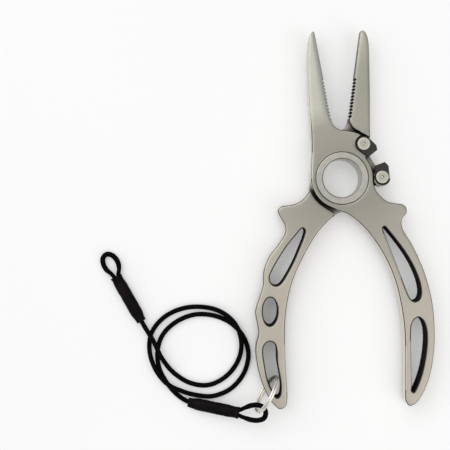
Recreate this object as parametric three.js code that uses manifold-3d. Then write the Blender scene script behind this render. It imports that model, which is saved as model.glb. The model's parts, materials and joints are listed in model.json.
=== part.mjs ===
// Fishing pliers with a hollow lap pivot, two side cutters and a short lanyard. Millimetres, +Z up.
// The pliers lie open on their back: the jaws point to +Y, the handles to -Y, the front faces up.
// Every plan shape below is drawn about the pivot axis; the whole assembly is then set at PIVOT,
// so that the origin is under the centre of the pliers' bounding box.
import * as THREE from "three";
import { mergeVertices } from "three/addons/utils/BufferGeometryUtils.js";
import Module from "manifold-3d";

const wasm = await Module();
wasm.setup();

// ---------------------------------------------------------------- driving dimensions
const PIVOT = [0.426, 20.978]; // the pivot axis in the part's frame
const BACK = 2.3; // height of the levers' rear faces
const FRONT = 12.4; // height of the levers' front faces
const LAP = (BACK + FRONT) / 2; // the plane in which the two half-thick bosses meet
const LAP_GAP = 0.3;
const EDGE = 0.7; // rounding of the levers' outer edges

const JAW_ROOT = 24; // distance from the pivot at which the jaws start to thin
const JAW_TIP = 73.3;
const JAW_THINNING = 2.5; // what each side of a jaw loses by the tip
const LEFT_FACE = 99.45; // directions of the gripping faces, in degrees from +X
const RIGHT_FACE = 81.65;
const TOOTH_PITCH = 1.67;
const TOOTH_DEPTH = 0.9;
const TEETH_FROM = 29.85;
const TOOTH_COUNT = 12;
const GROOVE = { r: 0.55, pitch: 1.7 }; // the grip grooves below both horns
const FACE_BEVEL = { width: 3.0, depth: 1.0, from: 28.5, full: 34 };

const BOSS_R = 15.35;
const PLATE_R = 23.6; // fan of the boss plate between jaw and side cutter
const JAW_CLEAR_R = 24.4; // the other lever's jaw starts outside this radius
const HANDLE_CLEAR_R = 17.0; // and its handle outside this one

const HOLE_R = 9.5; // the open hole through the pivot
const SLEEVE_R = 10.5;
const BUSHING_R = 11.34;
const BORE_R = 11.42;
const RUNNING = 0.06; // radial clearance on the sleeve
const FLANGE_R = 12.9;
const FLANGE_TOP = 12.9;
const FLANGE_FLOOR = 11.2; // floor of the front counterbore
const NUT_R = 12.8;
const NUT_TOP = 2.75;
const NUT_FLOOR = 3.3; // floor of the rear counterbore
const COUNTERBORE_R = 13.1;
const WASHER_T = 0.45;
const SPRING = { r: 13.4, wire: 0.55, groove: 0.9, depth: 1.4, turns: 1.6, rise: 1.25 };

const CUTTER_FLOOR = 9.4; // seat of both side cutters
const CUTTER_T = 2.3;
const UPPER = {
  x: 11.0, // the screw
  y: 16.75,
  r: 3.95,
  edge: 37.6, // direction of the cutting edge
  inner: 16.6,
  outer: 22.3,
  shoulder: [17.3, 15.9],
};
const LOWER = {
  x: 19.79,
  y: 0.17,
  r: 3.7,
  edge: 19.7,
  inner: 17.6,
  outer: 22.6,
  shoulder: [23.1, 5.7],
};
const SCREW = { head: 3.2, headT: 0.8, shank: 1.25, hole: 1.4, socket: 0.95 };
const EAR = { x: 19.5, y: -0.15, r: 4.2, clear: 15.8 };

const RING = {
  x: -38.8,
  y: -105.75,
  heading: 58.8,
  lean: 8.5,
  r: 9.95,
  wire: 0.52,
  pitch: 1.08,
  turns: 1.9,
};
const CORD_R = 1.2;
const EYE_R = 1.05; // the doubled end of the cord, drawn tight in the sleeve
const LOOP_R = 1.3; // and slack in the loop
const SLEEVE = { fat: 3.1, wall: 0.45, length: 26, squash: 0.74 };
const FERRULE = { r: 2.6, wall: 0.25, from: 9, to: 21 };

// ---------------------------------------------------------------- materials
const finish = (color, roughness, metalness) => new THREE.MeshStandardMaterial({ color, roughness, metalness });
const titanium = () => finish(0xaaa797, 0.45, 0.9);
const steel = () => finish(0xc3c4b2, 0.3, 1.0);
const carbide = () => finish(0x332f2c, 0.55, 0.6);
const bronze = () => finish(0x9a7440, 0.4, 1.0);
const polymer = () => finish(0xd8d4c4, 0.6, 0.0);
const rubber = () => finish(0x1b1716, 0.7, 0.0);
const cordStuff = () => finish(0x080808, 0.8, 0.0);

// ---------------------------------------------------------------- plan curves
const radians = THREE.MathUtils.degToRad;
const polar = (r, degrees) => new THREE.Vector2(r * Math.cos(radians(degrees)), r * Math.sin(radians(degrees)));

// The points of a line that are needed to stay within a tolerance of it.
function thinned(points, tolerance) {
  const first = points[0];
  const last = points[points.length - 1];
  const chord = last.clone().sub(first);
  let far = 0;
  let at = 0;
  points.forEach((p, i) => {
    const arm = p.clone().sub(first);
    const off = chord.length() > 1e-6 ? Math.abs(chord.cross(arm)) / chord.length() : arm.length();
    if (off > far) [far, at] = [off, i];
  });
  if (far <= tolerance) return [first, last];
  const before = thinned(points.slice(0, at + 1), tolerance);
  return [...before.slice(0, -1), ...thinned(points.slice(at), tolerance)];
}

// A smooth curve through a list of [x, y], as few points as its bends need.
function smooth(points, tolerance = 0.035, closed = false) {
  const curve = new THREE.CatmullRomCurve3(points.map(([x, y]) => new THREE.Vector3(x, y, 0)), closed);
  const dense = curve.getPoints(points.length * 14).map((p) => new THREE.Vector2(p.x, p.y));
  const few = thinned(dense, tolerance);
  return closed ? few.slice(0, -1) : few;
}

function arc(x, y, r, from, to, step = 6) {
  const count = Math.max(2, Math.ceil(Math.abs(to - from) / step));
  const points = [];
  for (let i = 0; i <= count; i++) {
    const p = polar(r, from + ((to - from) * i) / count);
    points.push(new THREE.Vector2(x + p.x, y + p.y));
  }
  return points;
}

// One closed outline out of several stretches, without doubled points or points on a straight line.
function outline(...stretches) {
  const all = stretches.flat();
  const apart = all.filter((p, i) => p.distanceTo(all[(i + 1) % all.length]) > 0.08);
  return apart.filter((p, i) => {
    const before = apart[(i + apart.length - 1) % apart.length];
    const after = apart[(i + 1) % apart.length];
    return Math.abs(p.clone().sub(before).cross(after.clone().sub(p))) > 1e-3;
  });
}

const mirrored = (points) => points.map((p) => new THREE.Vector2(-p.x, p.y)).reverse();

// The convex outline round a set of points.
function convexHull(points) {
  const sorted = [...points].sort((a, b) => a.x - b.x || a.y - b.y);
  const turn = (o, a, b) => (a.x - o.x) * (b.y - o.y) - (a.y - o.y) * (b.x - o.x);
  const half = (list) => {
    const chain = [];
    for (const p of list) {
      while (chain.length > 1 && turn(chain[chain.length - 2], chain[chain.length - 1], p) <= 0) chain.pop();
      chain.push(p);
    }
    chain.pop();
    return chain;
  };
  return [...half(sorted), ...half(sorted.reverse())];
}

// ---------------------------------------------------------------- solids
const CIRCLE_STEPS = 48;

function solid(geometry) {
  const bare = geometry.clone();
  bare.deleteAttribute("normal");
  bare.deleteAttribute("uv");
  const merged = mergeVertices(bare, 1e-4);
  const vertProperties = new Float32Array(merged.attributes.position.array);
  const triVerts = new Uint32Array(merged.index.array);
  return new wasm.Manifold(new wasm.Mesh({ numProp: 3, vertProperties, triVerts }));
}

function meshOf(name, body, material) {
  const made = body.getMesh();
  const geometry = new THREE.BufferGeometry();
  geometry.setAttribute("position", new THREE.BufferAttribute(Float32Array.from(made.vertProperties), 3));
  geometry.setIndex(new THREE.BufferAttribute(Uint32Array.from(made.triVerts), 1));
  const flat = geometry.toNonIndexed();
  flat.computeVertexNormals();
  const mesh = new THREE.Mesh(flat, material);
  mesh.name = name;
  return mesh;
}

// A plate between two heights, its rims rounded by edge.
function plate(points, low, high, edge = 0, holes = [], segments = 2) {
  const shape = new THREE.Shape(points);
  shape.holes = holes.map((hole) => new THREE.Path(hole));
  const geometry = new THREE.ExtrudeGeometry(shape, {
    depth: high - low - 2 * edge,
    steps: 1,
    bevelEnabled: edge > 0,
    bevelThickness: edge,
    bevelSize: edge,
    bevelOffset: -edge,
    bevelSegments: segments,
  });
  geometry.translate(0, 0, low + edge);
  return solid(geometry);
}

// A body turned about +Z from a closed profile of [radius, height], listed with its outside going up.
function turned(profile, steps = CIRCLE_STEPS) {
  const closed = [...profile, profile[0]].map(([r, z]) => new THREE.Vector2(r, z));
  const geometry = new THREE.LatheGeometry(closed, steps);
  geometry.rotateX(Math.PI / 2);
  return solid(geometry);
}

const disc = (r, low, high, steps = CIRCLE_STEPS) =>
  turned([[0, low], [r, low], [r, high], [0, high]], steps);
const ringOf = (inner, outer, low, high) =>
  turned([[inner, low], [outer, low], [outer, high], [inner, high]]);

// A round rod along a path of [x, y, z].
function rod(path, radius, steps, sides) {
  const curve = new THREE.CatmullRomCurve3(path.map((p) => new THREE.Vector3(...p)));
  const section = new THREE.Shape(arc(0, 0, radius, 0, 360 - 360 / sides, 360 / sides));
  return solid(new THREE.ExtrudeGeometry(section, { steps, bevelEnabled: false, extrudePath: curve }));
}

// A bar between two three-cornered sections, each a list of three [x, y, z].
function wedge(near, far) {
  const corners = [...near, ...far].flat();
  const faces = [0, 1, 2, 5, 4, 3, 0, 3, 4, 0, 4, 1, 1, 4, 5, 1, 5, 2, 2, 5, 3, 2, 3, 0];
  const build = (order) => {
    const geometry = new THREE.BufferGeometry();
    geometry.setAttribute("position", new THREE.Float32BufferAttribute(corners, 3));
    geometry.setIndex(order);
    return solid(geometry);
  };
  const body = build(faces);
  return body.volume() > 0 ? body : build([...faces].reverse());
}

// ---------------------------------------------------------------- jaws
// The gripping face runs straight away from the pivot.
const grippingFace = (direction) => [polar(FACE_BEVEL.from, direction), polar(JAW_TIP, direction)];

// The comb that cuts the teeth: round notches along the gripping face, flat crests between them.
const NOTCH = [[0.16, 0], [0.24, 0.6], [0.42, 1], [0.62, 1], [0.8, 0.6], [0.88, 0]];
function toothComb(direction, into) {
  const away = polar(1, direction);
  const inward = polar(1, direction + into * 90);
  const at = (r, depth) => away.clone().multiplyScalar(r).addScaledVector(inward, depth);
  const end = TEETH_FROM + TOOTH_COUNT * TOOTH_PITCH;
  const points = [at(end, -1), at(TEETH_FROM, -1), at(TEETH_FROM, -0.02)];
  for (let i = 0; i < TOOTH_COUNT; i++) {
    const r = TEETH_FROM + i * TOOTH_PITCH;
    for (const [along, depth] of NOTCH) {
      points.push(at(r + along * TOOTH_PITCH, depth * TOOTH_DEPTH - 0.02));
    }
  }
  return plate(into > 0 ? points : points.reverse(), BACK - 1, FRONT + 1);
}

// What thins the jaws from their root to their tip, on the front or the rear side.
function jawThinning(side) {
  const face = side > 0 ? FRONT : BACK;
  const tip = face - side * JAW_THINNING;
  const clear = face + side * 1;
  const low = JAW_ROOT;
  const high = JAW_TIP + 2;
  return wedge(
    [[-25, low, face], [-25, high, tip], [-25, high, clear]],
    [[25, low, face], [25, high, tip], [25, high, clear]],
  );
}

const jawFaceHeight = (r, side) => {
  const loss = (JAW_THINNING * (r - JAW_ROOT)) / (JAW_TIP + 2 - JAW_ROOT);
  return side > 0 ? FRONT - loss : BACK + loss;
};

// The broad bevel along one gripping face, on the front of one jaw and the rear of the other.
function faceBevel(direction, into, side) {
  const away = polar(1, direction);
  const inward = polar(1, direction + into * 90);
  const section = (r, part) => {
    const top = jawFaceHeight(r, side);
    const corner = (across, down) => {
      const p = away.clone().multiplyScalar(r).addScaledVector(inward, across * part * FACE_BEVEL.width);
      return [p.x, p.y, top - side * down * part * FACE_BEVEL.depth];
    };
    return [corner(-0.4, 1.4), corner(1.4, -0.4), corner(-0.4, -0.4)];
  };
  const full = section(FACE_BEVEL.full, 1);
  return wedge(full, section(JAW_TIP + 2, 0.5)).add(wedge(section(FACE_BEVEL.from - 3, 0.05), full));
}

// ---------------------------------------------------------------- lap joint
// The plan area that a lever leaves free, in the other lever's half of the thickness.
// Drawn for the lever whose jaw is on the right.
const lapArea = outline(
  arc(0, 0, JAW_CLEAR_R, 0, 66),
  smooth([[9.2, 22.9], [6.3, 24.7], [4.7, 27.2], [4.05, 29.6]]),
  [new THREE.Vector2(2, 33), new THREE.Vector2(-30, 33), new THREE.Vector2(-30, 0)],
  arc(0, 0, HANDLE_CLEAR_R, 180, 238),
  [new THREE.Vector2(-4.2, -17.6), new THREE.Vector2(-2.5, -22), new THREE.Vector2(12, -22)],
  arc(0, 0, HANDLE_CLEAR_R, 300, 354),
);

// ---------------------------------------------------------------- side cutters
function cutterOutline(cutter, offset = 0) {
  const centre = new THREE.Vector2(cutter.x, cutter.y);
  const corners = [polar(cutter.inner, cutter.edge), polar(cutter.outer, cutter.edge)];
  corners.push(new THREE.Vector2(...cutter.shoulder));
  const pushed = corners.map((p) => {
    const arm = p.clone().sub(centre);
    return centre.clone().addScaledVector(arm, 1 + (1.3 * offset) / arm.length());
  });
  return convexHull([...arc(cutter.x, cutter.y, cutter.r + offset, 0, 350, 10), ...pushed]);
}

function cutterBlade(cutter) {
  const low = CUTTER_FLOOR + 0.05;
  const hole = disc(SCREW.hole, low - 1, low + CUTTER_T + 1, 32).translate(cutter.x, cutter.y, 0);
  return plate(cutterOutline(cutter), low, low + CUTTER_T, 0.25, [], 1).subtract(hole);
}

function cutterScrew(cutter, shankEnd) {
  const seat = CUTTER_FLOOR + CUTTER_T + 0.1;
  const top = seat + SCREW.headT;
  const profile = [
    [0, shankEnd], [SCREW.shank, shankEnd], [SCREW.shank, seat], [SCREW.head, seat],
    [SCREW.head, top - 0.25], [SCREW.head - 0.25, top], [SCREW.socket, top],
    [SCREW.socket, top - 0.9], [0, top - 0.9],
  ];
  return turned(profile, 36).translate(cutter.x, cutter.y, 0);
}

const screwHole = (cutter, low) =>
  disc(SCREW.hole, low, CUTTER_FLOOR + 1, 32).translate(cutter.x, cutter.y, 0);

// ---------------------------------------------------------------- handles
const frontHandle = [
  [-5.75, -14.25], [-2.2, -15.9], [2.0, -17.3], [6.3, -20.3], [12.6, -26.8], [19.7, -37.6],
  [24.8, -49.5], [27.8, -62.0], [29.3, -74.0], [29.5, -90.0], [29.2, -104.0], [29.3, -110.2],
  [31.0, -112.7], [33.7, -112.0], [37.0, -108.2], [40.9, -99.8], [43.3, -89.0], [44.2, -77.0],
  [43.1, -60.7], [39.3, -45.9], [34.2, -33.9], [29.6, -26.0], [28.8, -22.9], [29.5, -19.9],
  [31.3, -17.9], [31.4, -15.2], [29.6, -13.5], [25.8, -12.9], [22.2, -12.0], [18.8, -9.2], [16.4, -6.0],
  [15.45, -2.6],
];
const frontSlots = [
  [[19.8, -24.6], [19.8, -25.7], [21.6, -31.0], [24.7, -39.4], [28.6, -50.0], [31.1, -57.0], [32.7, -60.1],
    [34.6, -61.3], [36.7, -60.4], [37.7, -57.6], [37.3, -53.0], [35.0, -46.0], [30.9, -38.2],
    [25.9, -31.0], [21.5, -25.4], [20.5, -24.3]],
  [[36.2, -69.3], [34.3, -70.4], [33.0, -72.8], [32.5, -77.5], [32.4, -90.4], [32.3, -103.0], [32.4, -105.3],
    [33.2, -106.0], [34.3, -104.6], [37.3, -97.2], [39.4, -87.8], [40.2, -79.5], [39.7, -74.0],
    [38.3, -70.7]],
];
const rearHandle = [
  [-15.45, -2.6], [-16.6, -6.6], [-19.1, -9.9], [-22.5, -12.0], [-26.5, -12.9], [-29.9, -13.3], [-31.9, -15.3],
  [-31.3, -17.7], [-28.9, -22.0], [-28.4, -25.9], [-31.9, -31.9], [-36.8, -38.1], [-39.5, -44.8],
  [-40.0, -52.0], [-42.2, -58.9], [-44.0, -64.7], [-43.2, -70.8], [-42.6, -75.6], [-44.1, -81.8],
  [-44.0, -88.2], [-42.2, -97.5], [-39.6, -104.5], [-36.2, -110.4], [-32.7, -113.3], [-30.0, -112.0],
  [-29.0, -108.0], [-29.5, -94.0], [-29.7, -77.0], [-28.6, -63.6], [-25.6, -51.0], [-20.2, -39.0],
  [-12.5, -26.5], [-6.3, -20.0], [-2.0, -17.3], [2.2, -15.9], [5.75, -14.25],
];
const rearSlots = [
  [[-19.7, -24.4], [-18.9, -25.3], [-19.4, -28.0], [-21.6, -33.4], [-24.9, -40.8], [-28.6, -47.4],
    [-30.8, -50.7], [-32.7, -52.2], [-34.7, -52.0], [-36.2, -50.3], [-36.5, -47.9], [-35.3, -44.9],
    [-32.6, -40.2], [-27.7, -32.9], [-22.7, -27.0], [-20.8, -24.8]],
  [[-36.1, -58.2], [-34.6, -59.2], [-33.3, -61.9], [-33.0, -65.2], [-33.8, -69.0], [-35.5, -71.5],
    [-37.2, -72.0], [-38.9, -70.7], [-40.0, -67.6], [-40.2, -63.9], [-39.4, -60.7], [-37.9, -58.6]],
  [[-36.9, -79.9], [-39.0, -80.7], [-40.3, -82.9], [-40.4, -86.5], [-39.8, -91.0], [-38.75, -97.5],
    [-36.9, -103.0], [-35.1, -106.6], [-33.9, -107.5], [-32.8, -106.6], [-32.2, -103.2], [-32.5, -98.0],
    [-33.7, -90.5], [-34.0, -83.5], [-34.9, -80.9]],
];
// Fine grip grooves across a handle's outer edge, along a line of [x, y] points.
function gripGrooves(line) {
  const curve = new THREE.CatmullRomCurve3(line.map(([x, y]) => new THREE.Vector3(x, y, 0)));
  const count = Math.round(curve.getLength() / GROOVE.pitch);
  const grooves = curve.getSpacedPoints(count).map((p) =>
    disc(GROOVE.r, BACK - 1, FRONT + 1, 8).translate(p.x, p.y, 0));
  return wasm.Manifold.union(grooves);
}

const slotHoles = (slots) => slots.map((points) => smooth(points, 0.03, true));

// ---------------------------------------------------------------- levers
function frontLever() {
  const seat = [[11.85, 10.0], [16.2, 13.7], [16.6, 15.6], [15.3, 17.4], [13.6, 19.0]];
  const points = outline(
    grippingFace(LEFT_FACE),
    smooth([[-12.7, 73.1], [-13.4, 72.4], [-14.3, 70.9], [-15.0, 68.2], [-15.5, 64.0], [-15.8, 56.0],
      [-15.5, 41.0], [-14.8, 27.0], [-14.6, 15.0], [-15.0, 7.0], [-15.3, 1.2]]),
    arc(0, 0, BOSS_R, 180, 246),
    smooth(frontHandle),
    arc(0, 0, BOSS_R, -6, 39.5),
    seat.map(([x, y]) => new THREE.Vector2(x, y)),
    arc(0, 0, PLATE_R, 62, 86),
    smooth([[-0.6, 23.9], [-2.4, 24.9], [-3.9, 26.3], [-4.66, 28.1]]),
  );
  return plate(points, BACK, FRONT, EDGE, slotHoles(frontSlots))
    .subtract(plate(mirrored(lapArea), BACK - 1, LAP + LAP_GAP / 2))
    .subtract(jawThinning(1))
    .subtract(jawThinning(-1))
    .subtract(toothComb(LEFT_FACE, 1))
    .subtract(faceBevel(LEFT_FACE, 1, 1))
    .subtract(gripGrooves([[29.4, -24.0], [30.2, -26.4], [34.5, -33.7], [38.4, -42.5]]))
    .subtract(plate(cutterOutline(UPPER, 0.4), CUTTER_FLOOR, FRONT + 1))
    .subtract(screwHole(UPPER, LAP - 1))
    .subtract(disc(BORE_R, BACK - 1, FRONT + 1))
    .subtract(disc(COUNTERBORE_R, FLANGE_FLOOR, FRONT + 1))
    .subtract(springGroove(LAP, LAP + LAP_GAP / 2 + SPRING.depth));
}

function rearLever() {
  const rightEdge = [[14.2, 14.5], [14.15, 20.0], [14.3, 33.0], [14.5, 46.0], [14.6, 58.0], [14.6, 64.0],
    [14.35, 68.0], [13.8, 70.4], [13.1, 71.9], [12.1, 72.8], [11.5, 73.0]];
  const earFloor = [[17.0, -3.6], [19.5, -4.35], [22.4, -3.2], [23.4, -0.2], [23.0, 3.7], [21.9, 6.0],
    [20.6, 6.5], [17.5, 5.6], [16.0, 8.2], [14.7, 10.4]];
  const points = outline(
    grippingFace(RIGHT_FACE).reverse(),
    smooth([[4.15, 28.0], [3.3, 26.2], [1.9, 24.7], [-0.4, 23.9]]),
    arc(0, 0, PLATE_R, 94, 106),
    smooth([[-8.6, 20.6], [-11.2, 15.0], [-12.9, 9.0]]),
    arc(0, 0, BOSS_R, 146, 184),
    smooth(rearHandle),
    arc(0, 0, BOSS_R, 294, 342),
    earFloor.map(([x, y]) => new THREE.Vector2(x, y)),
    smooth(rightEdge),
  );
  const ear = plate(arc(EAR.x, EAR.y, EAR.r, 0, 352, 8), LAP - 2, FRONT, 0)
    .add(plate(cutterOutline(LOWER, -0.7), LAP - 2, CUTTER_FLOOR + 0.5))
    .subtract(disc(EAR.clear, LAP - LAP_GAP / 2, FRONT + 1));
  return plate(points, BACK, FRONT, EDGE, slotHoles(rearSlots))
    .subtract(plate(lapArea, LAP - LAP_GAP / 2, FRONT + 1))
    .subtract(jawThinning(1))
    .subtract(jawThinning(-1))
    .subtract(toothComb(RIGHT_FACE, -1))
    .subtract(faceBevel(RIGHT_FACE, -1, -1))
    .subtract(gripGrooves([[-28.9, -25.0], [-29.9, -28.0], [-32.4, -31.8], [-37.0, -37.6], [-39.3, -42.6]]))
    .add(ear)
    .subtract(plate(cutterOutline(LOWER, 0.25), CUTTER_FLOOR, FRONT + 1))
    .subtract(screwHole(LOWER, CUTTER_FLOOR - 5))
    .subtract(disc(BORE_R, BACK - 1, FRONT + 1))
    .subtract(disc(COUNTERBORE_R, BACK - 1, NUT_FLOOR))
    .subtract(springGroove(LAP - LAP_GAP / 2 - SPRING.depth, LAP));
}

// ---------------------------------------------------------------- pivot
const springGroove = (low, high) => ringOf(SPRING.r - SPRING.groove, SPRING.r + SPRING.groove, low, high);

function pivotSleeve() {
  return turned([
    [HOLE_R, 0.5], [SLEEVE_R, 0.5], [SLEEVE_R, FLANGE_FLOOR + 0.55], [FLANGE_R, FLANGE_FLOOR + 0.55],
    [FLANGE_R, FLANGE_TOP - 0.3], [FLANGE_R - 0.3, FLANGE_TOP], [HOLE_R + 0.5, FLANGE_TOP],
    [HOLE_R, FLANGE_TOP - 0.5],
  ]);
}

// The ring nut has four spanner slots in its rear face.
function pivotRingNut() {
  const inner = SLEEVE_R + RUNNING;
  let nut = turned([
    [inner, 0], [NUT_R - 0.4, 0], [NUT_R, 0.4], [NUT_R, NUT_TOP], [inner, NUT_TOP],
  ]);
  for (const angle of [0, 90, 180, 270]) {
    const slot = new THREE.BoxGeometry(2.4, 2.0, 1.6);
    slot.translate(NUT_R, 0, 0);
    slot.rotateZ(radians(angle + 45));
    nut = nut.subtract(solid(slot));
  }
  return nut;
}

function returnSpring() {
  const middle = SPRING.rise * SPRING.turns;
  const path = [];
  const count = 24;
  for (let i = 0; i <= count; i++) {
    const p = polar(SPRING.r, 200 + (360 * SPRING.turns * i) / count);
    path.push([p.x, p.y, LAP - middle / 2 + (middle * i) / count]);
  }
  return rod(path, SPRING.wire, 40, 6);
}

// ---------------------------------------------------------------- split ring and lanyard
function splitRing() {
  const along = new THREE.Vector3(polar(1, RING.heading).x, polar(1, RING.heading).y, 0);
  const normal = new THREE.Vector3(along.y, -along.x, 0);
  const tilt = radians(RING.lean);
  const up = new THREE.Vector3(0, 0, Math.cos(tilt)).addScaledVector(normal, Math.sin(tilt));
  const axis = new THREE.Vector3().crossVectors(along, up);
  const reach = RING.pitch / 2;
  const height = RING.r * Math.cos(tilt) + reach * Math.sin(tilt) + RING.wire + 0.04;
  const path = [];
  const count = Math.round(RING.turns * 16);
  for (let i = 0; i <= count; i++) {
    const angle = radians(25 + (360 * RING.turns * i) / count);
    const p = new THREE.Vector3(RING.x, RING.y, height)
      .addScaledVector(along, RING.r * Math.cos(angle))
      .addScaledVector(up, RING.r * Math.sin(angle))
      .addScaledVector(axis, RING.pitch * RING.turns * (i / count - 0.5));
    path.push([p.x, p.y, p.z]);
  }
  return rod(path, RING.wire, 56, 8);
}

const nearSleeve = { from: [-78.2, -110.7, 2.75], to: [-52.9, -115.9, 6.0] };
const farSleeve = { from: [-100.9, -69.6, 2.6], to: [-113.4, -46.9, 2.6] };

// A body turned about the sleeve's own axis, flattened, and laid along the sleeve.
function alongSleeve(profile, place, steps) {
  const start = new THREE.Vector3(...place.from);
  const axis = new THREE.Vector3(...place.to).sub(start).normalize();
  const side = new THREE.Vector3(-axis.y, axis.x, 0).normalize();
  const up = new THREE.Vector3().crossVectors(axis, side).multiplyScalar(SLEEVE.squash);
  const frame = new THREE.Matrix4().makeBasis(side, up, axis).setPosition(start);
  const closed = [...profile, profile[0]].map(([r, z]) => new THREE.Vector2(r, z));
  const geometry = new THREE.LatheGeometry(closed, steps);
  geometry.rotateX(Math.PI / 2);
  geometry.applyMatrix4(frame);
  return solid(geometry);
}

function lanyardSleeve(place) {
  const { fat, wall, length } = SLEEVE;
  return alongSleeve([
    [2.0, 0], [2.35, 0], [2.45, 1.5], [fat, 5], [fat, 21], [2.9, 23], [2.85, 24.6], [3.1, length],
    [2.8, length], [2.58, 24.4], [2.58, 22.6], [fat - wall, 20.6], [fat - wall, 5.4], [2.05, 1.8],
  ], place, 16);
}

function lanyardFerrule(place) {
  const { r, wall, from, to } = FERRULE;
  const tube = [[r - wall, from], [r, from], [r, to], [r - wall, to]];
  return alongSleeve(tube, place, 16);
}

// The eyes are loops of the same cord, their two legs side by side in the sleeve.
const nearEye = [
  [-61.5, -112.95, 4.9], [-57.0, -113.9, 5.5], [-53.4, -114.6, 6.1], [-50.0, -113.2, 7.0],
  [-46.5, -111.85, 8.0], [-43.2, -111.6, 9.0], [-40.7, -112.8, 9.8], [-39.7, -115.5, 10.1],
  [-40.7, -118.0, 9.8], [-43.5, -119.1, 9.0], [-47.0, -119.0, 8.0], [-50.3, -118.1, 7.0],
  [-53.7, -116.9, 6.1], [-57.6, -116.15, 5.5], [-62.0, -115.2, 4.9],
];
const farEye = [
  [-108.0, -54.3, 2.6], [-111.3, -48.5, 2.6], [-112.2, -46.4, 2.6], [-111.8, -42.5, 2.2],
  [-112.8, -38.9, 1.6], [-115.0, -36.4, 1.4], [-117.8, -35.6, 1.4], [-119.8, -37.3, 1.4],
  [-119.9, -40.1, 1.4], [-118.4, -43.2, 1.6], [-115.6, -45.7, 2.2], [-114.0, -47.6, 2.6],
  [-112.8, -49.9, 2.6], [-109.9, -55.2, 2.6],
];

// The loop is thicker than its legs: a second rod lies round the points between two ends.
function eye(points, from, to) {
  return rod(points, EYE_R, 26, 8).add(rod(points.slice(from, to), LOOP_R, 20, 8));
}

// The cord leaves the near sleeve, lies in two loops and ends in the far sleeve.
const cordRoute = [
  [-70.5, -112.2, 3.7], [-76.0, -111.2, 3.0], [-80.4, -109.4, 2.1], [-84.8, -106.0, 1.4],
  [-89.0, -100.8, 1.3], [-92.6, -93.5, 1.3], [-93.3, -85.0, 1.3], [-90.8, -77.2, 1.3],
  [-84.5, -70.9, 1.3], [-74.5, -66.9, 1.3], [-64.0, -67.7, 1.3], [-55.5, -71.9, 1.3],
  [-49.6, -79.0, 1.3], [-47.5, -87.5, 1.3], [-50.2, -97.2, 1.3], [-57.0, -104.7, 1.3],
  [-66.0, -108.1, 1.4], [-74.0, -107.3, 2.2], [-81.0, -105.0, 3.6], [-88.4, -101.2, 4.0],
  [-94.3, -93.8, 3.3], [-97.3, -84.5, 1.4], [-96.0, -75.4, 1.3], [-89.2, -67.6, 1.3],
  [-79.0, -63.4, 1.3], [-68.0, -63.4, 1.4], [-59.8, -66.2, 3.4], [-53.6, -72.2, 4.0],
  [-51.0, -80.4, 3.2], [-52.3, -89.3, 1.4], [-58.2, -97.6, 1.3], [-67.5, -102.4, 1.3],
  [-77.0, -101.3, 1.3], [-85.6, -95.6, 1.8], [-91.3, -87.6, 3.9], [-95.0, -79.6, 4.0],
  [-98.3, -74.2, 3.2], [-101.6, -68.4, 2.65], [-104.6, -62.9, 2.6],
];

// ---------------------------------------------------------------- assembly
const assembly = new THREE.Group();
assembly.position.set(PIVOT[0], PIVOT[1], 0);

const washer = (inner, floor, t) => ringOf(inner, 12.6, floor, floor + t);
const pieces = {
  front_lever: [frontLever(), titanium()],
  rear_lever: [rearLever(), titanium()],
  pivot_sleeve: [pivotSleeve(), titanium()],
  pivot_ring_nut: [pivotRingNut(), titanium()],
  pivot_bushing: [ringOf(SLEEVE_R + RUNNING, BUSHING_R, NUT_FLOOR, FLANGE_FLOOR), bronze()],
  front_thrust_washer: [washer(SLEEVE_R + RUNNING, FLANGE_FLOOR + 0.05, WASHER_T), polymer()],
  centre_thrust_washer: [washer(BORE_R + 0.05, LAP - 0.12, 0.24), polymer()],
  rear_thrust_washer: [washer(SLEEVE_R + RUNNING, NUT_TOP + 0.05, WASHER_T), polymer()],
  return_spring: [returnSpring(), steel()],
  upper_cutter: [cutterBlade(UPPER), carbide()],
  lower_cutter: [cutterBlade(LOWER), carbide()],
  upper_cutter_screw: [cutterScrew(UPPER, LAP + LAP_GAP), steel()],
  lower_cutter_screw: [cutterScrew(LOWER, CUTTER_FLOOR - 4.5), steel()],
  split_ring: [splitRing(), steel()],
  lanyard_eye: [eye(nearEye, 3, 12), cordStuff()],
  lanyard_sleeve: [lanyardSleeve(nearSleeve), rubber()],
  lanyard_ferrule: [lanyardFerrule(nearSleeve), steel()],
  lanyard_cord: [rod(cordRoute, CORD_R, 76, 8), cordStuff()],
  far_lanyard_sleeve: [lanyardSleeve(farSleeve), rubber()],
  far_lanyard_ferrule: [lanyardFerrule(farSleeve), steel()],
  far_lanyard_eye: [eye(farEye, 3, 11), cordStuff()],
};
for (const [name, [body, material]] of Object.entries(pieces)) {
  assembly.add(meshOf(name, body, material));
}

export default assembly;
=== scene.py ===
# Fishing pliers: materials, finished pieces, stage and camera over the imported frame.
# Lengths are metres in the row frame; lists taken over from the part are millimetres about the pivot.
import json
import math

import bmesh
import bpy
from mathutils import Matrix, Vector, noise


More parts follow.
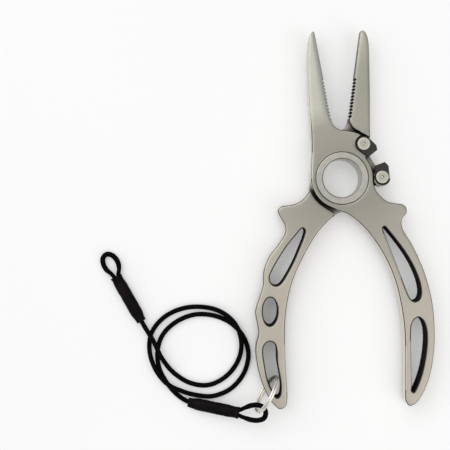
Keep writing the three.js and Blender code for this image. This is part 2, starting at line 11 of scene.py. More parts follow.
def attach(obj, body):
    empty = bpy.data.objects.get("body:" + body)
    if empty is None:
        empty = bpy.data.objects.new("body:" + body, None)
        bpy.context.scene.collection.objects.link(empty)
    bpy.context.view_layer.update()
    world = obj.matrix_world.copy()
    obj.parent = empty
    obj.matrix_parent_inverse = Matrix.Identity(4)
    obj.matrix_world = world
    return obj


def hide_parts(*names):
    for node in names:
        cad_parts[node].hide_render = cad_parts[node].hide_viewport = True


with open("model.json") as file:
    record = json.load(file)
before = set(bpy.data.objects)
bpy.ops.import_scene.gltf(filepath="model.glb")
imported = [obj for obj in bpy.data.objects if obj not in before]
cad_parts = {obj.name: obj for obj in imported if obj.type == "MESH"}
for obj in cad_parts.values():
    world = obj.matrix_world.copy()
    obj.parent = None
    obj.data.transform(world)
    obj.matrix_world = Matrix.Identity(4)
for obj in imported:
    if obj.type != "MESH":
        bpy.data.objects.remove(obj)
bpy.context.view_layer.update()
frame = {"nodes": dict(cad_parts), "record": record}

nodes = frame["nodes"]
hinge = frame["record"]["behaviour"]["joints"][0]
PIVOT = Vector((hinge["pos_m"][0], hinge["pos_m"][1], 0.0))
FRONT = "front_side"
REAR = "rear_side"


def place(x, y, z=0.0):
    """A point given in millimetres about the pivot, in the row frame."""
    return PIVOT + Vector((x, y, z)) / 1000


# ------------------------------------------------------------------ camera
scene = bpy.context.scene
scene.view_settings.view_transform = "Standard"
camera_data = bpy.data.cameras.new("camera")
camera_data.sensor_width = 36.0
camera_data.lens = 73.17
camera_data.clip_start = 0.01
camera_data.clip_end = 20.0
camera = bpy.data.objects.new("camera", camera_data)
camera.location = place(-58.1, -22.0, 462.4)
camera.rotation_euler = (0.0, 0.0, math.radians(-1.07))
scene.collection.objects.link(camera)
scene.camera = camera


# ------------------------------------------------------------------ mesh tools
def new_object(name, mesh, body, material, replaced=()):
    piece = bpy.data.objects.new(name, mesh)
    scene.collection.objects.link(piece)
    mesh.materials.clear()
    mesh.materials.append(material)
    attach(piece, body)
    if replaced:
        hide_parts(*replaced)
    return piece


def spline(points, steps):
    """Points on a centripetal Catmull-Rom curve, so many steps to each stretch."""
    points = [Vector(p) for p in points]
    ends = [points[0] * 2 - points[1]] + points + [points[-1] * 2 - points[-2]]
    out = []
    for i in range(1, len(ends) - 2):
        p = ends[i - 1:i + 3]
        t = [0.0]
        for a, b in zip(p, p[1:]):
            t.append(t[-1] + math.sqrt((b - a).length))
        for k in range(steps):
            u = t[1] + (t[2] - t[1]) * k / steps
            a1 = p[0].lerp(p[1], (u - t[0]) / (t[1] - t[0]))
            a2 = p[1].lerp(p[2], (u - t[1]) / (t[2] - t[1]))
            a3 = p[2].lerp(p[3], (u - t[2]) / (t[3] - t[2]))
            b1 = a1.lerp(a2, (u - t[0]) / (t[2] - t[0]))
            b2 = a2.lerp(a3, (u - t[1]) / (t[3] - t[1]))
            out.append(b1.lerp(b2, (u - t[1]) / (t[2] - t[1])))
    out.append(points[-1])
    return out


def length_of(points):
    return sum((b - a).length for a, b in zip(points, points[1:]))


def tube(name, path, radius, sides=16):
    """A closed tube along a path; its UVs count turns round it and metres along it."""
    mesh = bpy.data.meshes.new(name)
    bm = bmesh.new()
    uv = bm.loops.layers.uv.new("UVMap")
    rings = []
    along = [0.0]
    normal = None
    for i, p in enumerate(path):
        ahead = path[min(i + 1, len(path) - 1)] - path[max(i - 1, 0)]
        tangent = ahead.normalized()
        if normal is None:
            normal = tangent.cross(Vector((0, 0, 1))).normalized()
        normal = (normal - tangent * normal.dot(tangent)).normalized()
        other = tangent.cross(normal)
        if i:
            along.append(along[-1] + (p - path[i - 1]).length)
        r = radius(along[-1]) if callable(radius) else radius
        ring = []
        for k in range(sides):
            a = 2 * math.pi * k / sides
            ring.append(bm.verts.new(p + normal * (r * math.cos(a)) + other * (r * math.sin(a))))
        rings.append(ring)
    for i, (low, high) in enumerate(zip(rings, rings[1:])):
        for k in range(sides):
            n = (k + 1) % sides
            face = bm.faces.new((low[k], low[n], high[n], high[k]))
            face.smooth = True
            spots = ((k, along[i]), (k + 1, along[i]), (k + 1, along[i + 1]), (k, along[i + 1]))
            for loop, (u, v) in zip(face.loops, spots):
                loop[uv].uv = (u / sides, v)
    for ring, flip in ((rings[0], True), (rings[-1], False)):
        bm.faces.new(list(reversed(ring)) if flip else ring)
    bmesh.ops.recalc_face_normals(bm, faces=bm.faces)
    bm.to_mesh(mesh)
    bm.free()
    return mesh


# Which way each lever's gripping face runs, in degrees, and on which side of it the metal lies.
GRIP = {"front_lever": (99.45, -1), "rear_lever": (81.65, 1)}
TEETH_MM = (30.0, 51.5)  # where the teeth begin and end along a gripping face
GRIP_END_MM = 74.0
NOTCH_MM = 1.0  # depth of the zone that takes in the teeth
FACE_MM = 0.1  # depth of the zone that takes in the plain gripping face
SLOT_LENGTH = 0.06  # the walls of slots and pockets are shorter than this along Y, the outline's are not
# Above RIM_TOP the painted shade and highlight lines along rounded edges stop.
RIM_TOP = 0.03  # above this height over the pivot an edge has no dark rim: the jaws' edges are plain
UPRIGHT, STEEP, LEVEL = 0.3, 0.7, 0.97  # how far a face looks up or down: wall, outer and inner rounding, face
# The wedge between the jaws gets painted shade.
SHADED_CROTCH_MM = ((-6.0, 18.5), (12.0, 29.0))  # the dark wedge between the jaws, two corners about the pivot
SLOPE = (0.9, 0.98)  # how far the jaws' broad slopes look up or down
SLOPE_AREA = 5e-6  # square metres; long straight strips of the handles' rounded edges are larger too
LARGE_FACE = 4e-5


def mark_slots(bm, mark):
    """Marks the walls of slots and pockets, and the rounded edge round each, for painted shade."""
    bm.faces.ensure_lookup_table()
    wall = {f.index for f in bm.faces if abs(f.normal.z) < UPRIGHT}
    seen = set()
    for first in sorted(wall):
        if first in seen:
            continue
        group, queue = [], [bm.faces[first]]
        seen.add(first)
        while queue:
            face = queue.pop()
            group.append(face)
            for edge in face.edges:
                for other in edge.link_faces:
                    if other.index in wall and other.index not in seen:
                        seen.add(other.index)
                        queue.append(other)
        heights = [v.co.y for face in group for v in face.verts]
        if max(heights) - min(heights) >= SLOT_LENGTH:
            continue
        for face in group:
            face[mark] = 1.0
            for rim in neighbours(face):
                if rim.index in wall or abs(rim.normal.z) >= STEEP:
                    continue
                rim[mark] = 1.0
                for shoulder in neighbours(rim):
                    if STEEP <= abs(shoulder.normal.z) < LEVEL:
                        shoulder[mark] = 0.75


def neighbours(face):
    return [other for edge in face.edges for other in edge.link_faces]


def mark_jaws(bm, mark, node):
    """Marks the teeth, the gripping face and the rear lever's crotch for painted shade, and the jaws' broad
    slopes.

    The last test has no limit of place, so it also takes 13 long straight strips of the handles'
    and the boss's rounded edges, and those strips show the slope's tone and no edge lines.
    """
    heading, side = GRIP[node]
    along = Vector((math.cos(math.radians(heading)), math.sin(math.radians(heading)), 0.0))
    (left, bottom), (right, top) = SHADED_CROTCH_MM
    for face in bm.faces:
        spot = (face.calc_center_median() - PIVOT) * 1000
        depth = (spot.x * along.y - spot.y * along.x) * side
        reach = spot.dot(along)
        zone = NOTCH_MM if reach < TEETH_MM[1] else FACE_MM
        tilt = abs(face.normal.z)
        if TEETH_MM[0] < reach < GRIP_END_MM and -FACE_MM < depth < zone and tilt < UPRIGHT:
            face[mark] = 1.0 if depth > FACE_MM else 0.8
        if node == "rear_lever" and left < spot.x < right and bottom < spot.y < top and tilt < SLOPE[0]:
            face[mark] = 0.85
        if SLOPE[0] < tilt < SLOPE[1] and face.calc_area() > SLOPE_AREA:
            face[mark] = -1.0


def mark_walls(bm, node):
    """Writes what the titanium's material reads, and keeps the crisp borders between large faces.

    wall_shade_and_slope, on faces: painted shade, 1 in slots, pockets and teeth, 0 outside, -1 on what mark_jaws
    takes for a slope.
    rim, on vertices: across a rounded edge, 0 at the face and 1 at the wall.
    """
    mark = bm.faces.layers.float.new("wall_shade_and_slope")
    mark_slots(bm, mark)
    mark_jaws(bm, mark, node)
    rim = bm.verts.layers.float.new("rim")
    for vert in bm.verts:
        tilts = [abs(f.normal.z) for f in vert.link_faces]
        if max(tilts) > LEVEL or vert.co.y > PIVOT.y + RIM_TOP:
            vert[rim] = 0.0
        else:
            vert[rim] = 1.0 if min(tilts) < UPRIGHT else 0.5
    for edge in bm.edges:
        if len(edge.link_faces) != 2:
            continue
        large = min(f.calc_area() for f in edge.link_faces) > LARGE_FACE
        slope = {f[mark] < 0 for f in edge.link_faces} == {True, False}
        if slope or (large and edge.calc_face_angle() > math.radians(1.2)):
            edge.smooth = False


def refined(node, name, walls=False):
    """A cleaned copy of a CAD node's mesh: flat faces whole, curves smooth."""
    mesh = nodes[node].data.copy()
    mesh.name = name
    bm = bmesh.new()
    bm.from_mesh(mesh)
    bmesh.ops.remove_doubles(bm, verts=bm.verts, dist=4e-6)
    bmesh.ops.dissolve_limit(bm, angle_limit=math.radians(0.3), verts=bm.verts, edges=bm.edges)
    for face in bm.faces:
        face.smooth = True
    if walls:
        bm.normal_update()
        mark_walls(bm, node)
    bm.to_mesh(mesh)
    bm.free()
    if mesh.attributes.get("custom_normal"):
        mesh.attributes.remove(mesh.attributes["custom_normal"])
    return mesh


def round_edges(piece, width, angle, segments):
    """Rounds the edges sharper than an angle in degrees."""
    bevel = piece.modifiers.new("rounding", "BEVEL")
    bevel.width = width
    bevel.segments = segments
    bevel.limit_method = "ANGLE"
    bevel.angle_limit = math.radians(angle)
    bevel.use_clamp_overlap = True
    bevel.miter_outer = "MITER_ARC"
    weighted = piece.modifiers.new("normals", "WEIGHTED_NORMAL")
    weighted.keep_sharp = True
    weighted.weight = 80


# ------------------------------------------------------------------ material tools
class Shader:
    """A node material, put together with short calls."""

    def __init__(self, name):
        self.material = bpy.data.materials.new(name)
        self.material.use_nodes = True
        self.tree = self.material.node_tree
        self.surface = self.tree.nodes["Principled BSDF"]
        self.position = self.add("ShaderNodeTexCoord").outputs["Object"]

    def put(self, socket, value):
        if isinstance(value, bpy.types.NodeSocket):
            self.tree.links.new(value, socket)
        else:
            socket.default_value = value

    def add(self, kind, settings=None, **inputs):
        node = self.tree.nodes.new(kind)
        for key, value in (settings or {}).items():
            setattr(node, key, value)
        for key, value in inputs.items():
            self.put(node.inputs[key.replace("_", " ")], value)
        return node

    def noise(self, scale, detail=3.0, roughness=0.5, vector=None):
        vector = vector or self.position
        made = self.add("ShaderNodeTexNoise", None, Vector=vector, Scale=scale, Detail=detail, Roughness=roughness)
        return made.outputs["Fac"]

    def math(self, operation, a, b=0.0, clamp=False):
        node = self.add("ShaderNodeMath", {"operation": operation, "use_clamp": clamp})
        self.put(node.inputs[0], a)
        self.put(node.inputs[1], b)
        return node.outputs[0]

    def times(self, a, b):
        return self.math("MULTIPLY", a, b)

    def attribute(self, name):
        return self.add("ShaderNodeAttribute", {"attribute_name": name}).outputs["Fac"]

    def span(self, value, low, high, to_low=0.0, to_high=1.0):
        node = self.add("ShaderNodeMapRange", {"clamp": True}, Value=value)
        for key, number in (("From Min", low), ("From Max", high), ("To Min", to_low), ("To Max", to_high)):
            node.inputs[key].default_value = number
        return node.outputs["Result"]

    def mix(self, factor, a, b, blend="MIX"):
        node = self.add("ShaderNodeMix", {"data_type": "RGBA", "blend_type": blend})
        self.put(node.inputs[0], factor)
        self.put(node.inputs[6], a if isinstance(a, bpy.types.NodeSocket) else (*a, 1.0))
        self.put(node.inputs[7], b if isinstance(b, bpy.types.NodeSocket) else (*b, 1.0))
        return node.outputs[2]

    def bump(self, height, strength, distance, normal=None):
        node = self.add("ShaderNodeBump", None, Height=height, Strength=strength, Distance=distance)
        if normal is not None:
            self.put(node.inputs["Normal"], normal)
        return node.outputs["Normal"]

    def about_pivot(self, x=0.0, y=0.0):
        """Positions about an axis along Z, given in millimetres about the pivot."""
        centre = place(x, y)
        node = self.add("ShaderNodeVectorMath", {"operation": "SUBTRACT"})
        self.put(node.inputs[0], self.position)
        node.inputs[1].default_value = (centre.x, centre.y, 0.0)
        return node.outputs[0]

    def turning(self, pitch, vector):
        """Fine rings about the vector's Z axis, as a turning tool leaves them."""
        wave = self.add(
            "ShaderNodeTexWave",
            {"wave_type": "RINGS", "rings_direction": "Z", "wave_profile": "SIN"},
            Vector=vector,
            Scale=2 * math.pi / (20 * pitch),
            Distortion=0.4,
            Detail=1.0,
        )
        return wave.outputs["Fac"]

    def bending(self, radius):
        """How far the surface turns within a radius: 1 on flat metal, less towards an edge."""
        soft = self.add("ShaderNodeBevel", {"samples": 6}, Radius=radius).outputs["Normal"]
        true = self.add("ShaderNodeNewGeometry").outputs["Normal"]
        dot = self.add("ShaderNodeVectorMath", {"operation": "DOT_PRODUCT"})
        self.put(dot.inputs[0], soft)
        self.put(dot.inputs[1], true)
        return dot.outputs["Value"]

    def edges(self, radius, low=0.01, high=0.16):
        """1 along outer and inner edges, 0 on flat metal."""
        return self.span(self.bending(radius), 1.0 - high, 1.0 - low, 1.0, 0.0)

    def tilt(self):
        """How far a face looks up or down: 1 for flat faces, 0 for side walls."""
        normal = self.add("ShaderNodeNewGeometry").outputs["True Normal"]
        return self.math("ABSOLUTE", self.add("ShaderNodeSeparateXYZ", None, Vector=normal).outputs["Z"])

    def band(self, value, low, rise, fall, high):
        """1 between rise and fall, 0 below low and above high."""
        return self.times(self.span(value, low, rise), self.span(value, fall, high, 1.0, 0.0))

    def soft_normal(self, radius, share):
        """The surface normal, leaning a little outwards near edges."""
        soft = self.add("ShaderNodeBevel", {"samples": 6}, Radius=radius).outputs["Normal"]
        blend = self.add("ShaderNodeMix", {"data_type": "VECTOR"})
        self.put(blend.inputs[0], share)
        self.put(blend.inputs[4], self.add("ShaderNodeNewGeometry").outputs["Normal"])
        self.put(blend.inputs[5], soft)
        unit = self.add("ShaderNodeVectorMath", {"operation": "NORMALIZE"})
        self.put(unit.inputs[0], blend.outputs[1])
        return unit.outputs[0]

    def crevice(self, distance, low, high):
        """1 deep in gaps and slots, 0 in the open."""
        node = self.add("ShaderNodeAmbientOcclusion", {"samples": 12}, Distance=distance)
        return self.span(node.outputs["AO"], low, high, 1.0, 0.0)

    def reach(self, x, y):
        """Millimetres from an axis along Z, given about the pivot."""
        flat = self.add("ShaderNodeVectorMath", {"operation": "MULTIPLY"})
        self.put(flat.inputs[0], self.about_pivot(x, y))
        flat.inputs[1].default_value = (1000.0, 1000.0, 0.0)
        length = self.add("ShaderNodeVectorMath", {"operation": "LENGTH"})
        self.put(length.inputs[0], flat.outputs[0])
        return length.outputs["Value"]

    def patch(self, x, y, near, far):
        """1 within near millimetres of a place given about the pivot, fading to 0 at far."""
        return self.span(self.reach(x, y), near, far, 1.0, 0.0)

    def specular(self, level):
        self.put(self.surface.inputs["Specular IOR Level"], level)

    def finish(self, color, roughness, metallic, normal):
        self.put(self.surface.inputs["Base Color"], color)
        self.put(self.surface.inputs["Roughness"], roughness)
        self.put(self.surface.inputs["Metallic"], metallic)
        self.put(self.surface.inputs["Normal"], normal)
        return self.material


def blasted_titanium():
    """Bead-blasted titanium: even grain, greyer towards the pivot, painted shade on walls and in gaps, painted
    shade and highlight lines along edges, rubbed edges.
    """
    s = Shader("blasted_titanium")
    cloud = s.noise(38.0, 2.0)
    grain = s.noise(5200.0, 2.0, 0.6)
    smear = s.noise(420.0, 4.0, 0.65)
    # Tone of the faces: warm at the handles' ends, greyer towards the pivot, with a painted highlight that
    # lightens the front lever's jaw and painted shade that darkens the rear lever's jaw.
    tone = s.mix(s.patch(0.0, 0.0, 14.0, 58.0), (0.500, 0.455, 0.385), (0.290, 0.281, 0.242))
    tone = s.mix(s.patch(-17.0, 54.0, 20.0, 29.0), tone, (0.530, 0.515, 0.450))
    tone = s.mix(s.patch(13.0, 48.0, 6.0, 26.0), tone, (0.325, 0.322, 0.262))
    tone = s.mix(s.span(cloud, 0.35, 0.65, 0.0, 0.25), tone, (0.40, 0.385, 0.33))
    tone = s.mix(s.span(grain, 0.3, 0.7, 0.0, 0.30), tone, (0.31, 0.30, 0.26))
    wall = s.attribute("wall_shade_and_slope")
    slope = s.span(wall, -1.0, 0.0, 1.0, 0.0)
    tone = s.mix(s.times(slope, 0.82), tone, (0.600, 0.607, 0.560))
    # Painted light: upright side walls are turned a light beige, as if lit from beside.
    tilt = s.tilt()
    tone = s.mix(s.times(s.span(tilt, 0.05, 0.15, 1.0, 0.0), 0.8), tone, (0.80, 0.75, 0.66))
    # Rounded edges: a painted shade line outside and a painted highlight line inside it, none where marked -1.
    rim = s.math("SUBTRACT", s.attribute("rim"), slope, True)
    painted_rim_shade = s.times(s.band(rim, 0.22, 0.34, 0.94, 1.00), s.span(tilt, 0.08, 0.20, 0.0, 0.90))
    painted_rim_highlight = s.times(s.band(rim, 0.01, 0.06, 0.20, 0.28), 0.75)
    tone = s.mix(painted_rim_shade, tone, (0.070, 0.055, 0.044))
    tone = s.mix(painted_rim_highlight, tone, (0.62, 0.59, 0.52))
    # Lighter band on flat faces next to edges: part rubbed wear, part painted highlight.
    bend = s.bending(0.0010)
    face = s.span(tilt, 0.9, 0.97)
    wear_and_highlight = s.times(s.times(s.band(bend, 0.90, 0.93, 0.97, 0.99), face), s.span(smear, 0.3, 0.6, 0.35, 0.8))
    color = s.mix(wear_and_highlight, tone, (0.60, 0.585, 0.525))
    # Painted shade: a dark band where the flat faces turn into an edge.
    painted_edge_shade = s.times(s.span(bend, 0.80, 0.90, 1.0, 0.0), face)
    color = s.mix(s.times(painted_edge_shade, 0.75), color, (0.080, 0.066, 0.054))
    # Painted shade: the walls of slots, pockets and teeth near-black, and darker still in the gaps by ambient
    # occlusion.
    inner = s.span(wall, 0.0, 1.0)
    color = s.mix(s.times(inner, 0.98), color, (0.009, 0.0085, 0.008))
    painted_crevice_shade = s.crevice(0.005, 0.2, 0.62)
    color = s.mix(painted_crevice_shade, color, (0.010, 0.009, 0.008))
    rough = s.math("SUBTRACT", s.span(smear, 0.3, 0.7, 0.40, 0.50), s.times(wear_and_highlight, 0.12))
    rough = s.math("ADD", rough, s.times(painted_crevice_shade, 0.25))
    normal = s.bump(grain, 0.22, 0.00003, s.soft_normal(0.0028, 0.50))
    normal = s.bump(smear, 0.10, 0.00004, normal)
    # The walls painted as shade are also made matte and not metallic.
    s.specular(s.span(inner, 0.0, 0.9, 0.5, 0.0))
    return s.finish(color, rough, s.span(inner, 0.2, 0.9, 1.0, 0.0), normal)


def turned_titanium():
    """Turned and polished titanium of the hollow pivot, with fine rings about its axis."""
    s = Shader("turned_titanium")
    rings = s.turning(0.00032, s.about_pivot())
    fine = s.noise(2600.0, 3.0, 0.6)
    smear = s.noise(300.0, 3.0)
    tone = s.mix(s.span(smear, 0.35, 0.65), (0.445, 0.432, 0.383), (0.505, 0.490, 0.437))
    tone = s.mix(s.span(rings, 0.0, 1.0, 0.0, 0.30), tone, (0.33, 0.32, 0.28))
    rub = s.edges(0.0004)
    color = s.mix(s.times(rub, 0.8), tone, (0.74, 0.73, 0.68))
    rough = s.span(fine, 0.3, 0.7, 0.26, 0.36)
    normal = s.bump(rings, 0.30, 0.00001)
    normal = s.bump(fine, 0.10, 0.00001, normal)
    return s.finish(color, rough, 1.0, normal)


def bright_steel(name="bright_steel", centre=None):
    """Stainless steel with hairline scratches; a screw's head has turning rings."""
    s = Shader(name)
    fine = s.noise(1800.0, 4.0, 0.7)
    if centre:
        lines = s.turning(0.00022, s.about_pivot(*centre))
    else:
        stretched = s.add("ShaderNodeMapping", None, Vector=s.position, Scale=(1.0, 1.0, 0.15)).outputs["Vector"]
        lines = s.noise(6500.0, 2.0, 0.6, stretched)
    if centre:
        reach = s.reach(*centre)
        tone = s.mix(s.span(lines, 0.2, 0.8), (0.475, 0.468, 0.400), (0.570, 0.558, 0.485))
        tone = s.mix(s.times(s.band(reach, 1.45, 1.6, 1.75, 1.95), 0.55), tone, (0.20, 0.19, 0.16))
        # Painted shade in the central dimple and a painted highlight at its centre.
        tone = s.mix(s.times(s.band(reach, 0.30, 0.45, 0.80, 1.00), 0.55), tone, (0.14, 0.13, 0.115))
        tone = s.mix(s.span(reach, 0.28, 0.45, 1.0, 0.0), tone, (0.78, 0.76, 0.68))
    else:
        tone = s.mix(s.span(fine, 0.35, 0.65), (0.80, 0.77, 0.69), (0.88, 0.855, 0.78))
    rub = s.edges(0.0002)
    color = s.mix(s.times(rub, 0.6), tone, (0.80, 0.80, 0.75))
    rough = s.span(lines, 0.2, 0.8, 0.30, 0.44)
    normal = s.bump(lines, 0.18, 0.00001)
    return s.finish(color, rough, 1.0, normal)


def black_carbide():
    """Sintered carbide under a matte black coat, worn to grey along its edges."""
    s = Shader("black_carbide")
    pores = s.noise(3800.0, 4.0, 0.7)
    smear = s.noise(500.0, 3.0)
    tone = s.mix(s.span(pores, 0.35, 0.7), (0.012, 0.011, 0.010), (0.026, 0.023, 0.021))
    rub = s.times(s.edges(0.00025, 0.02, 0.25), s.span(smear, 0.35, 0.65, 0.2, 0.9))
    color = s.mix(rub, tone, (0.16, 0.15, 0.14))
    rough = s.span(smear, 0.3, 0.7, 0.42, 0.58)
    normal = s.bump(pores, 0.25, 0.00002)
    return s.finish(color, rough, 0.25, normal)


def bearing_bronze():
    s = Shader("bearing_bronze")
    rings = s.turning(0.0003, s.about_pivot())
    smear = s.noise(700.0, 3.0)
    tone = s.mix(s.span(smear, 0.3, 0.7), (0.52, 0.36, 0.17), (0.62, 0.46, 0.24))
    normal = s.bump(rings, 0.3, 0.00001)
    return s.finish(tone, s.span(smear, 0.3, 0.7, 0.3, 0.45), 1.0, normal)


def washer_polymer():
    s = Shader("washer_polymer")
    speck = s.noise(3000.0, 3.0)
    tone = s.mix(s.span(speck, 0.3, 0.7), (0.74, 0.72, 0.65), (0.82, 0.80, 0.74))
    return s.finish(tone, s.span(speck, 0.3, 0.7, 0.45, 0.6), 0.0, s.bump(speck, 0.1, 0.00001))


def ferrule_aluminium():
    s = Shader("ferrule_aluminium")
    lines = s.noise(2500.0, 3.0)
    tone = s.mix(s.span(lines, 0.3, 0.7), (0.62, 0.62, 0.62), (0.72, 0.72, 0.72))
    return s.finish(tone, s.span(lines, 0.3, 0.7, 0.35, 0.5), 1.0, s.bump(lines, 0.15, 0.00001))


def braided_cord(radius):
    """Tightly braided black cord: two sets of strands cross in small diamonds."""
    s = Shader("braided_cord")
    uv = s.add("ShaderNodeTexCoord").outputs["UV"]
    split = s.add("ShaderNodeSeparateXYZ", None, Vector=uv)
    turns = s.times(split.outputs["X"], 8.0)
    rows = s.times(split.outputs["Y"], 8.0 / (2 * math.pi * radius * 1.35))
    left = s.math("SINE", s.times(s.math("ADD", turns, rows), 2 * math.pi))
    right = s.math("SINE", s.times(s.math("SUBTRACT", turns, rows), 2 * math.pi))
    diamond = s.span(s.times(left, right), -1.0, 1.0)
    fibre = s.noise(9000.0, 2.0, 0.7)
    fluff = s.noise(260.0, 3.0)
    tone = s.mix(diamond, (0.0008, 0.0008, 0.0008), (0.0030, 0.0029, 0.0030))
    tone = s.mix(s.span(fluff, 0.45, 0.75, 0.0, 0.35), tone, (0.0060, 0.0058, 0.0060))
    rough = s.span(fibre, 0.3, 0.7, 0.62, 0.82)
    normal = s.bump(diamond, 0.55, 0.00010)
    normal = s.bump(fibre, 0.25, 0.00002, normal)
    s.specular(0.035)
    return s.finish(tone, rough, 0.0, normal)


def shrunk_rubber():
    """Shrunk black tubing: dull, faintly wrinkled, a little brown where it was stretched."""
    s = Shader("shrunk_rubber")
    skin = s.noise(1500.0, 4.0, 0.6)
    patch = s.noise(130.0, 2.0)
    tone = s.mix(s.span(patch, 0.4, 0.65), (0.0016, 0.0013, 0.0014), (0.0070, 0.0042, 0.0048))
    rough = s.span(skin, 0.3, 0.7, 0.42, 0.60)
    normal = s.bump(skin, 0.35, 0.00006)
    normal = s.bump(s.noise(420.0, 3.0), 0.35, 0.0003, normal)
    s.specular(0.06)
    return s.finish(tone, rough, 0.0, normal)


CORD_R = 0.0012
EYE_R = 0.00105
LOOP_R = 0.00129
titanium = blasted_titanium()
polished = turned_titanium()
steel = bright_steel()
carbide = black_carbide()
bronze = bearing_bronze()
polymer = washer_polymer()
aluminium = ferrule_aluminium()
braid = braided_cord(CORD_R)
rubber = shrunk_rubber()

# ------------------------------------------------------------------ lanyard
route = [
    (-70.5, -112.2, 3.7), (-76.0, -111.2, 3.0), (-80.4, -109.4, 2.1), (-84.8, -106.0, 1.4),
    (-89.0, -100.8, 1.3), (-92.6, -93.5, 1.3), (-93.3, -85.0, 1.3), (-90.8, -77.2, 1.3),
    (-84.5, -70.9, 1.3), (-74.5, -66.9, 1.3), (-64.0, -67.7, 1.3), (-55.5, -71.9, 1.3),
    (-49.6, -79.0, 1.3), (-47.5, -87.5, 1.3), (-50.2, -97.2, 1.3), (-57.0, -104.7, 1.3),
    (-66.0, -108.1, 1.4), (-74.0, -107.3, 2.2), (-81.0, -105.0, 3.6), (-88.4, -101.2, 4.0),
    (-94.3, -93.8, 3.3), (-97.3, -84.5, 1.4), (-96.0, -75.4, 1.3), (-89.2, -67.6, 1.3),
    (-79.0, -63.4, 1.3), (-68.0, -63.4, 1.4), (-59.8, -66.2, 3.4), (-53.6, -72.2, 4.0),
    (-51.0, -80.4, 3.2), (-52.3, -89.3, 1.4), (-58.2, -97.6, 1.3), (-67.5, -102.4, 1.3),
    (-77.0, -101.3, 1.3), (-85.6, -95.6, 1.8), (-91.3, -87.6, 3.9), (-95.0, -79.6, 4.0),
    (-98.3, -74.2, 3.2), (-101.6, -68.4, 2.65), (-104.6, -62.9, 2.6),
]
near_eye = [
    (-61.5, -112.95, 4.9), (-57.0, -113.9, 5.5), (-53.4, -114.6, 6.1), (-50.0, -113.2, 7.0),
    (-46.5, -111.85, 8.0), (-43.2, -111.6, 9.0), (-40.7, -112.8, 9.8), (-39.7, -115.5, 10.1),
    (-40.7, -118.0, 9.8), (-43.5, -119.1, 9.0), (-47.0, -119.0, 8.0), (-50.3, -118.1, 7.0),
    (-53.7, -116.9, 6.1), (-57.6, -116.15, 5.5), (-62.0, -115.2, 4.9),
]
far_eye = [
    (-108.0, -54.3, 2.6), (-111.3, -48.5, 2.6), (-112.2, -46.4, 2.6), (-111.8, -42.5, 2.2),
    (-112.8, -38.9, 1.6), (-115.0, -36.4, 1.4), (-117.8, -35.6, 1.4), (-119.8, -37.3, 1.4),
    (-119.9, -40.1, 1.4), (-118.4, -43.2, 1.6), (-115.6, -45.7, 2.2), (-114.0, -47.6, 2.6),
    (-112.8, -49.9, 2.6), (-109.9, -55.2, 2.6),
]


def looped(name, points, radius, node):
    path = spline([place(*p) for p in points], 10)
    return path, new_object(name, tube(name, path, radius), REAR, braid, (node,))


def slack(points):
    """The radius along an eye: drawn tight in the sleeve, full round in the loop."""
    total = length_of(spline([place(*p) for p in points], 10))

    def radius(s):
        inward = min(s, total - s)
        share = min(1.0, max(0.0, (inward - 0.0118) / 0.003))
        return EYE_R + (LOOP_R - EYE_R) * share * share * (3 - 2 * share)

    return radius


cord_path, cord_piece = looped("lanyard_braid", route, CORD_R, "lanyard_cord")
near_loop = looped("lanyard_eye_braid", near_eye, slack(near_eye), "lanyard_eye")[1]
far_loop = looped("far_lanyard_eye_braid", far_eye, slack(far_eye), "far_lanyard_eye")[1]


def shrunk_sleeve(name, start, end, node, seed):
    """The shrunk cover over a crimp: fat over the ferrule, drawn in at both ends, slightly wrinkled."""
    start, end = place(*start), place(*end)
    axis = (end - start).normalized()
    side = Vector((-axis.y, axis.x, 0.0)).normalized()
    up = axis.cross(side) * 0.74
    # Radius and distance along the sleeve in millimetres; the inside follows the ferrule and isn't wrinkled.
    outer = [(2.35, 0.0), (2.42, 0.9), (2.5, 1.7), (2.75, 3.2), (3.02, 4.8), (3.08, 8.0), (3.05, 12.5),
             (3.08, 17.5), (3.06, 20.6), (2.96, 22.2), (2.87, 23.4), (2.84, 24.4), (2.98, 25.4), (3.05, 26.0)]
    inner = [(2.8, 26.0), (2.6, 24.5), (2.6, 22.6), (2.66, 20.6), (2.66, 5.4), (2.1, 1.8), (2.0, 0.0)]
    rows = [(p.x, p.y, True) for p in spline([(r, z, 0.0) for r, z in outer], 6)]
    rows += [(r, z, False) for r, z in inner]
    sides = 56
    mesh = bpy.data.meshes.new(name)
    bm = bmesh.new()
    rings = []
    for r, z, shown in rows:
        ring = []
        for k in range(sides):
            a = 2 * math.pi * k / sides
            reach = r / 1000
            if shown:
                spot = Vector((math.cos(a) * 2.2 + seed, math.sin(a) * 2.2, z * 0.34))
                fold = noise.noise(spot) * 0.16 - abs(noise.noise(spot * 2.3)) * 0.10
                ends = min(1.0, z / 2.0, (26.0 - z) / 1.5)
                reach += min(0.02, fold) / 1000 * max(0.15, ends)
            spoke = side * (reach * math.cos(a)) + up * (reach * math.sin(a))
            ring.append(bm.verts.new(start + axis * (z / 1000) + spoke))
        rings.append(ring)
    for low, high in zip(rings, rings[1:] + rings[:1]):
        for k in range(sides):
            n = (k + 1) % sides
            bm.faces.new((low[k], low[n], high[n], high[k])).smooth = True
    bmesh.ops.recalc_face_normals(bm, faces=bm.faces)
    bm.to_mesh(mesh)
    bm.free()
    return new_object(name, mesh, REAR, rubber, (node,))


near_cover = shrunk_sleeve(
    "lanyard_shrunk_cover", (-78.2, -110.7, 2.75), (-52.9, -115.9, 6.0), "lanyard_sleeve", 1.7)
far_cover = shrunk_sleeve(
    "far_lanyard_shrunk_cover", (-100.9, -69.6, 2.6), (-113.4, -46.9, 2.6), "far_lanyard_sleeve", 9.1)


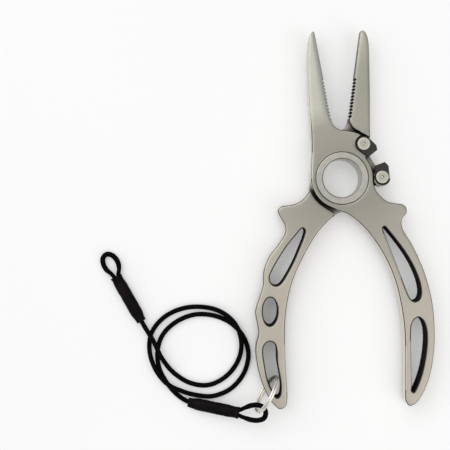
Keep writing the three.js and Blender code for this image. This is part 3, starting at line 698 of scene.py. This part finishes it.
# ------------------------------------------------------------------ split ring
def split_ring():
    """Two turns of wire, stepped aside near the free ends, standing in the handle's last slot."""
    x, y, heading, lean = -38.8, -105.75, math.radians(58.8), math.radians(8.5)
    r, wire, pitch, turns = 9.95, 0.52, 1.08, 1.9
    along = Vector((math.cos(heading), math.sin(heading), 0))
    across = Vector((along.y, -along.x, 0))
    up = Vector((0, 0, math.cos(lean))) + across * math.sin(lean)
    axis = along.cross(up)
    height = r * math.cos(lean) + pitch / 2 * math.sin(lean) + wire + 0.04
    path = []
    count = 230
    for i in range(count + 1):
        t = i / count
        angle = math.radians(25) + 2 * math.pi * turns * t
        p = Vector((x, y, height)) + along * (r * math.cos(angle)) + up * (r * math.sin(angle))
        p += axis * (pitch * turns * (t - 0.5))
        path.append(place(*p))

    def radius(s):
        total = length_of(path)
        return wire / 1000 * (0.55 + 0.45 * min(1.0, s / 0.0009, (total - s) / 0.0009))

    mesh = tube("split_ring_wire", path, radius, 20)
    return new_object("split_ring_wire", mesh, REAR, steel, ("split_ring",))


split_ring()

# ------------------------------------------------------------------ levers, cutters and pivot
for node, body in (("front_lever", FRONT), ("rear_lever", REAR)):
    mesh = refined(node, node + "_finish", True)
    lever = new_object(node + "_finish", mesh, body, titanium, (node,))
    round_edges(lever, 0.00022, 50.0, 2)

for node, name in (("pivot_sleeve", "pivot_sleeve_finish"), ("pivot_ring_nut", "pivot_ring_nut_finish")):
    piece = new_object(name, refined(node, name), REAR, polished, (node,))
    round_edges(piece, 0.00012, 26.0, 2)

for node, body in (("upper_cutter", FRONT), ("lower_cutter", REAR)):
    piece = new_object(node + "_finish", refined(node, node + "_finish"), body, carbide, (node,))
    round_edges(piece, 0.00014, 26.0, 2)

screws = (("upper_cutter_screw", FRONT, (11.0, 16.75)), ("lower_cutter_screw", REAR, (19.79, 0.17)))
for node, body, centre in screws:
    look = bright_steel(node + "_steel", centre)
    piece = new_object(node + "_finish", refined(node, node + "_finish"), body, look, (node,))
    round_edges(piece, 0.00016, 26.0, 3)

hidden_looks = {
    "pivot_bushing": bronze,
    "front_thrust_washer": polymer,
    "centre_thrust_washer": polymer,
    "rear_thrust_washer": polymer,
    "return_spring": steel,
    "lanyard_ferrule": aluminium,
    "far_lanyard_ferrule": aluminium,
}
for node, look in hidden_looks.items():
    nodes[node].data.materials.clear()
    nodes[node].data.materials.append(look)


# ------------------------------------------------------------------ stage and light
def floor():
    """A faintly glowing white board just under the object, with a painted shadow that dims its glow in the rear
    handle's slots.
    """
    s = Shader("floor_board")
    tone = s.mix(s.span(s.noise(3.0, 3.0), 0.3, 0.7), (0.66, 0.66, 0.658), (0.675, 0.675, 0.672))
    shade = s.times(s.crevice(0.010, 0.45, 0.75), s.patch(-35.0, -78.0, 22.0, 34.0))
    look = s.finish(tone, 0.7, 0.0, s.bump(s.noise(900.0, 3.0), 0.04, 0.0001))
    s.specular(0.15)
    s.surface.inputs["Emission Color"].default_value = (1.0, 1.0, 1.0, 1.0)
    s.put(s.surface.inputs["Emission Strength"], s.span(shade, 0.0, 1.0, 0.26, 0.15))
    mesh = bpy.data.meshes.new("floor_board")
    corners = [(-2, -2), (2, -2), (2, 2), (-2, 2)]
    mesh.from_pydata([(x, y, -0.00002) for x, y in corners], [], [(0, 1, 2, 3)])
    mesh.materials.append(look)
    board = bpy.data.objects.new("floor_board", mesh)
    scene.collection.objects.link(board)


floor()

def studio():
    """Light from all round, brighter from above left than from below right."""
    world = bpy.data.worlds.new("studio")
    scene.world = world
    world.use_nodes = True
    tree = world.node_tree
    direction = tree.nodes.new("ShaderNodeTexCoord").outputs["Generated"]
    lean = tree.nodes.new("ShaderNodeVectorMath")
    lean.operation = "DOT_PRODUCT"
    tree.links.new(direction, lean.inputs[0])
    lean.inputs[1].default_value = (-0.50, 0.20, 0.84)
    rise = tree.nodes.new("ShaderNodeValToRGB")
    tree.links.new(lean.outputs["Value"], rise.inputs[0])
    for stop, position, level in zip(rise.color_ramp.elements, (0.0, 0.85), (0.26, 0.95)):
        stop.position = position
        stop.color = (level, level, level, 1)
    background = tree.nodes["Background"]
    tree.links.new(rise.outputs[0], background.inputs["Color"])
    background.inputs["Strength"].default_value = 1.0


studio()


def area_light(name, location, size, power):
    target = (-0.03, 0.0, 0.0)
    light = bpy.data.lights.new(name, "AREA")
    light.shape = "RECTANGLE"
    light.size, light.size_y = size
    light.energy = power
    lamp = bpy.data.objects.new(name, light)
    lamp.location = location
    lamp.rotation_euler = (Vector(target) - Vector(location)).to_track_quat("-Z", "Y").to_euler()
    scene.collection.objects.link(lamp)


area_light("key", (-0.55, 0.75, 1.25), (1.4, 1.2), 7.0)
area_light("fill", (0.8, -0.55, 1.0), (1.2, 1.2), 5.0)

bpy.context.view_layer.update()
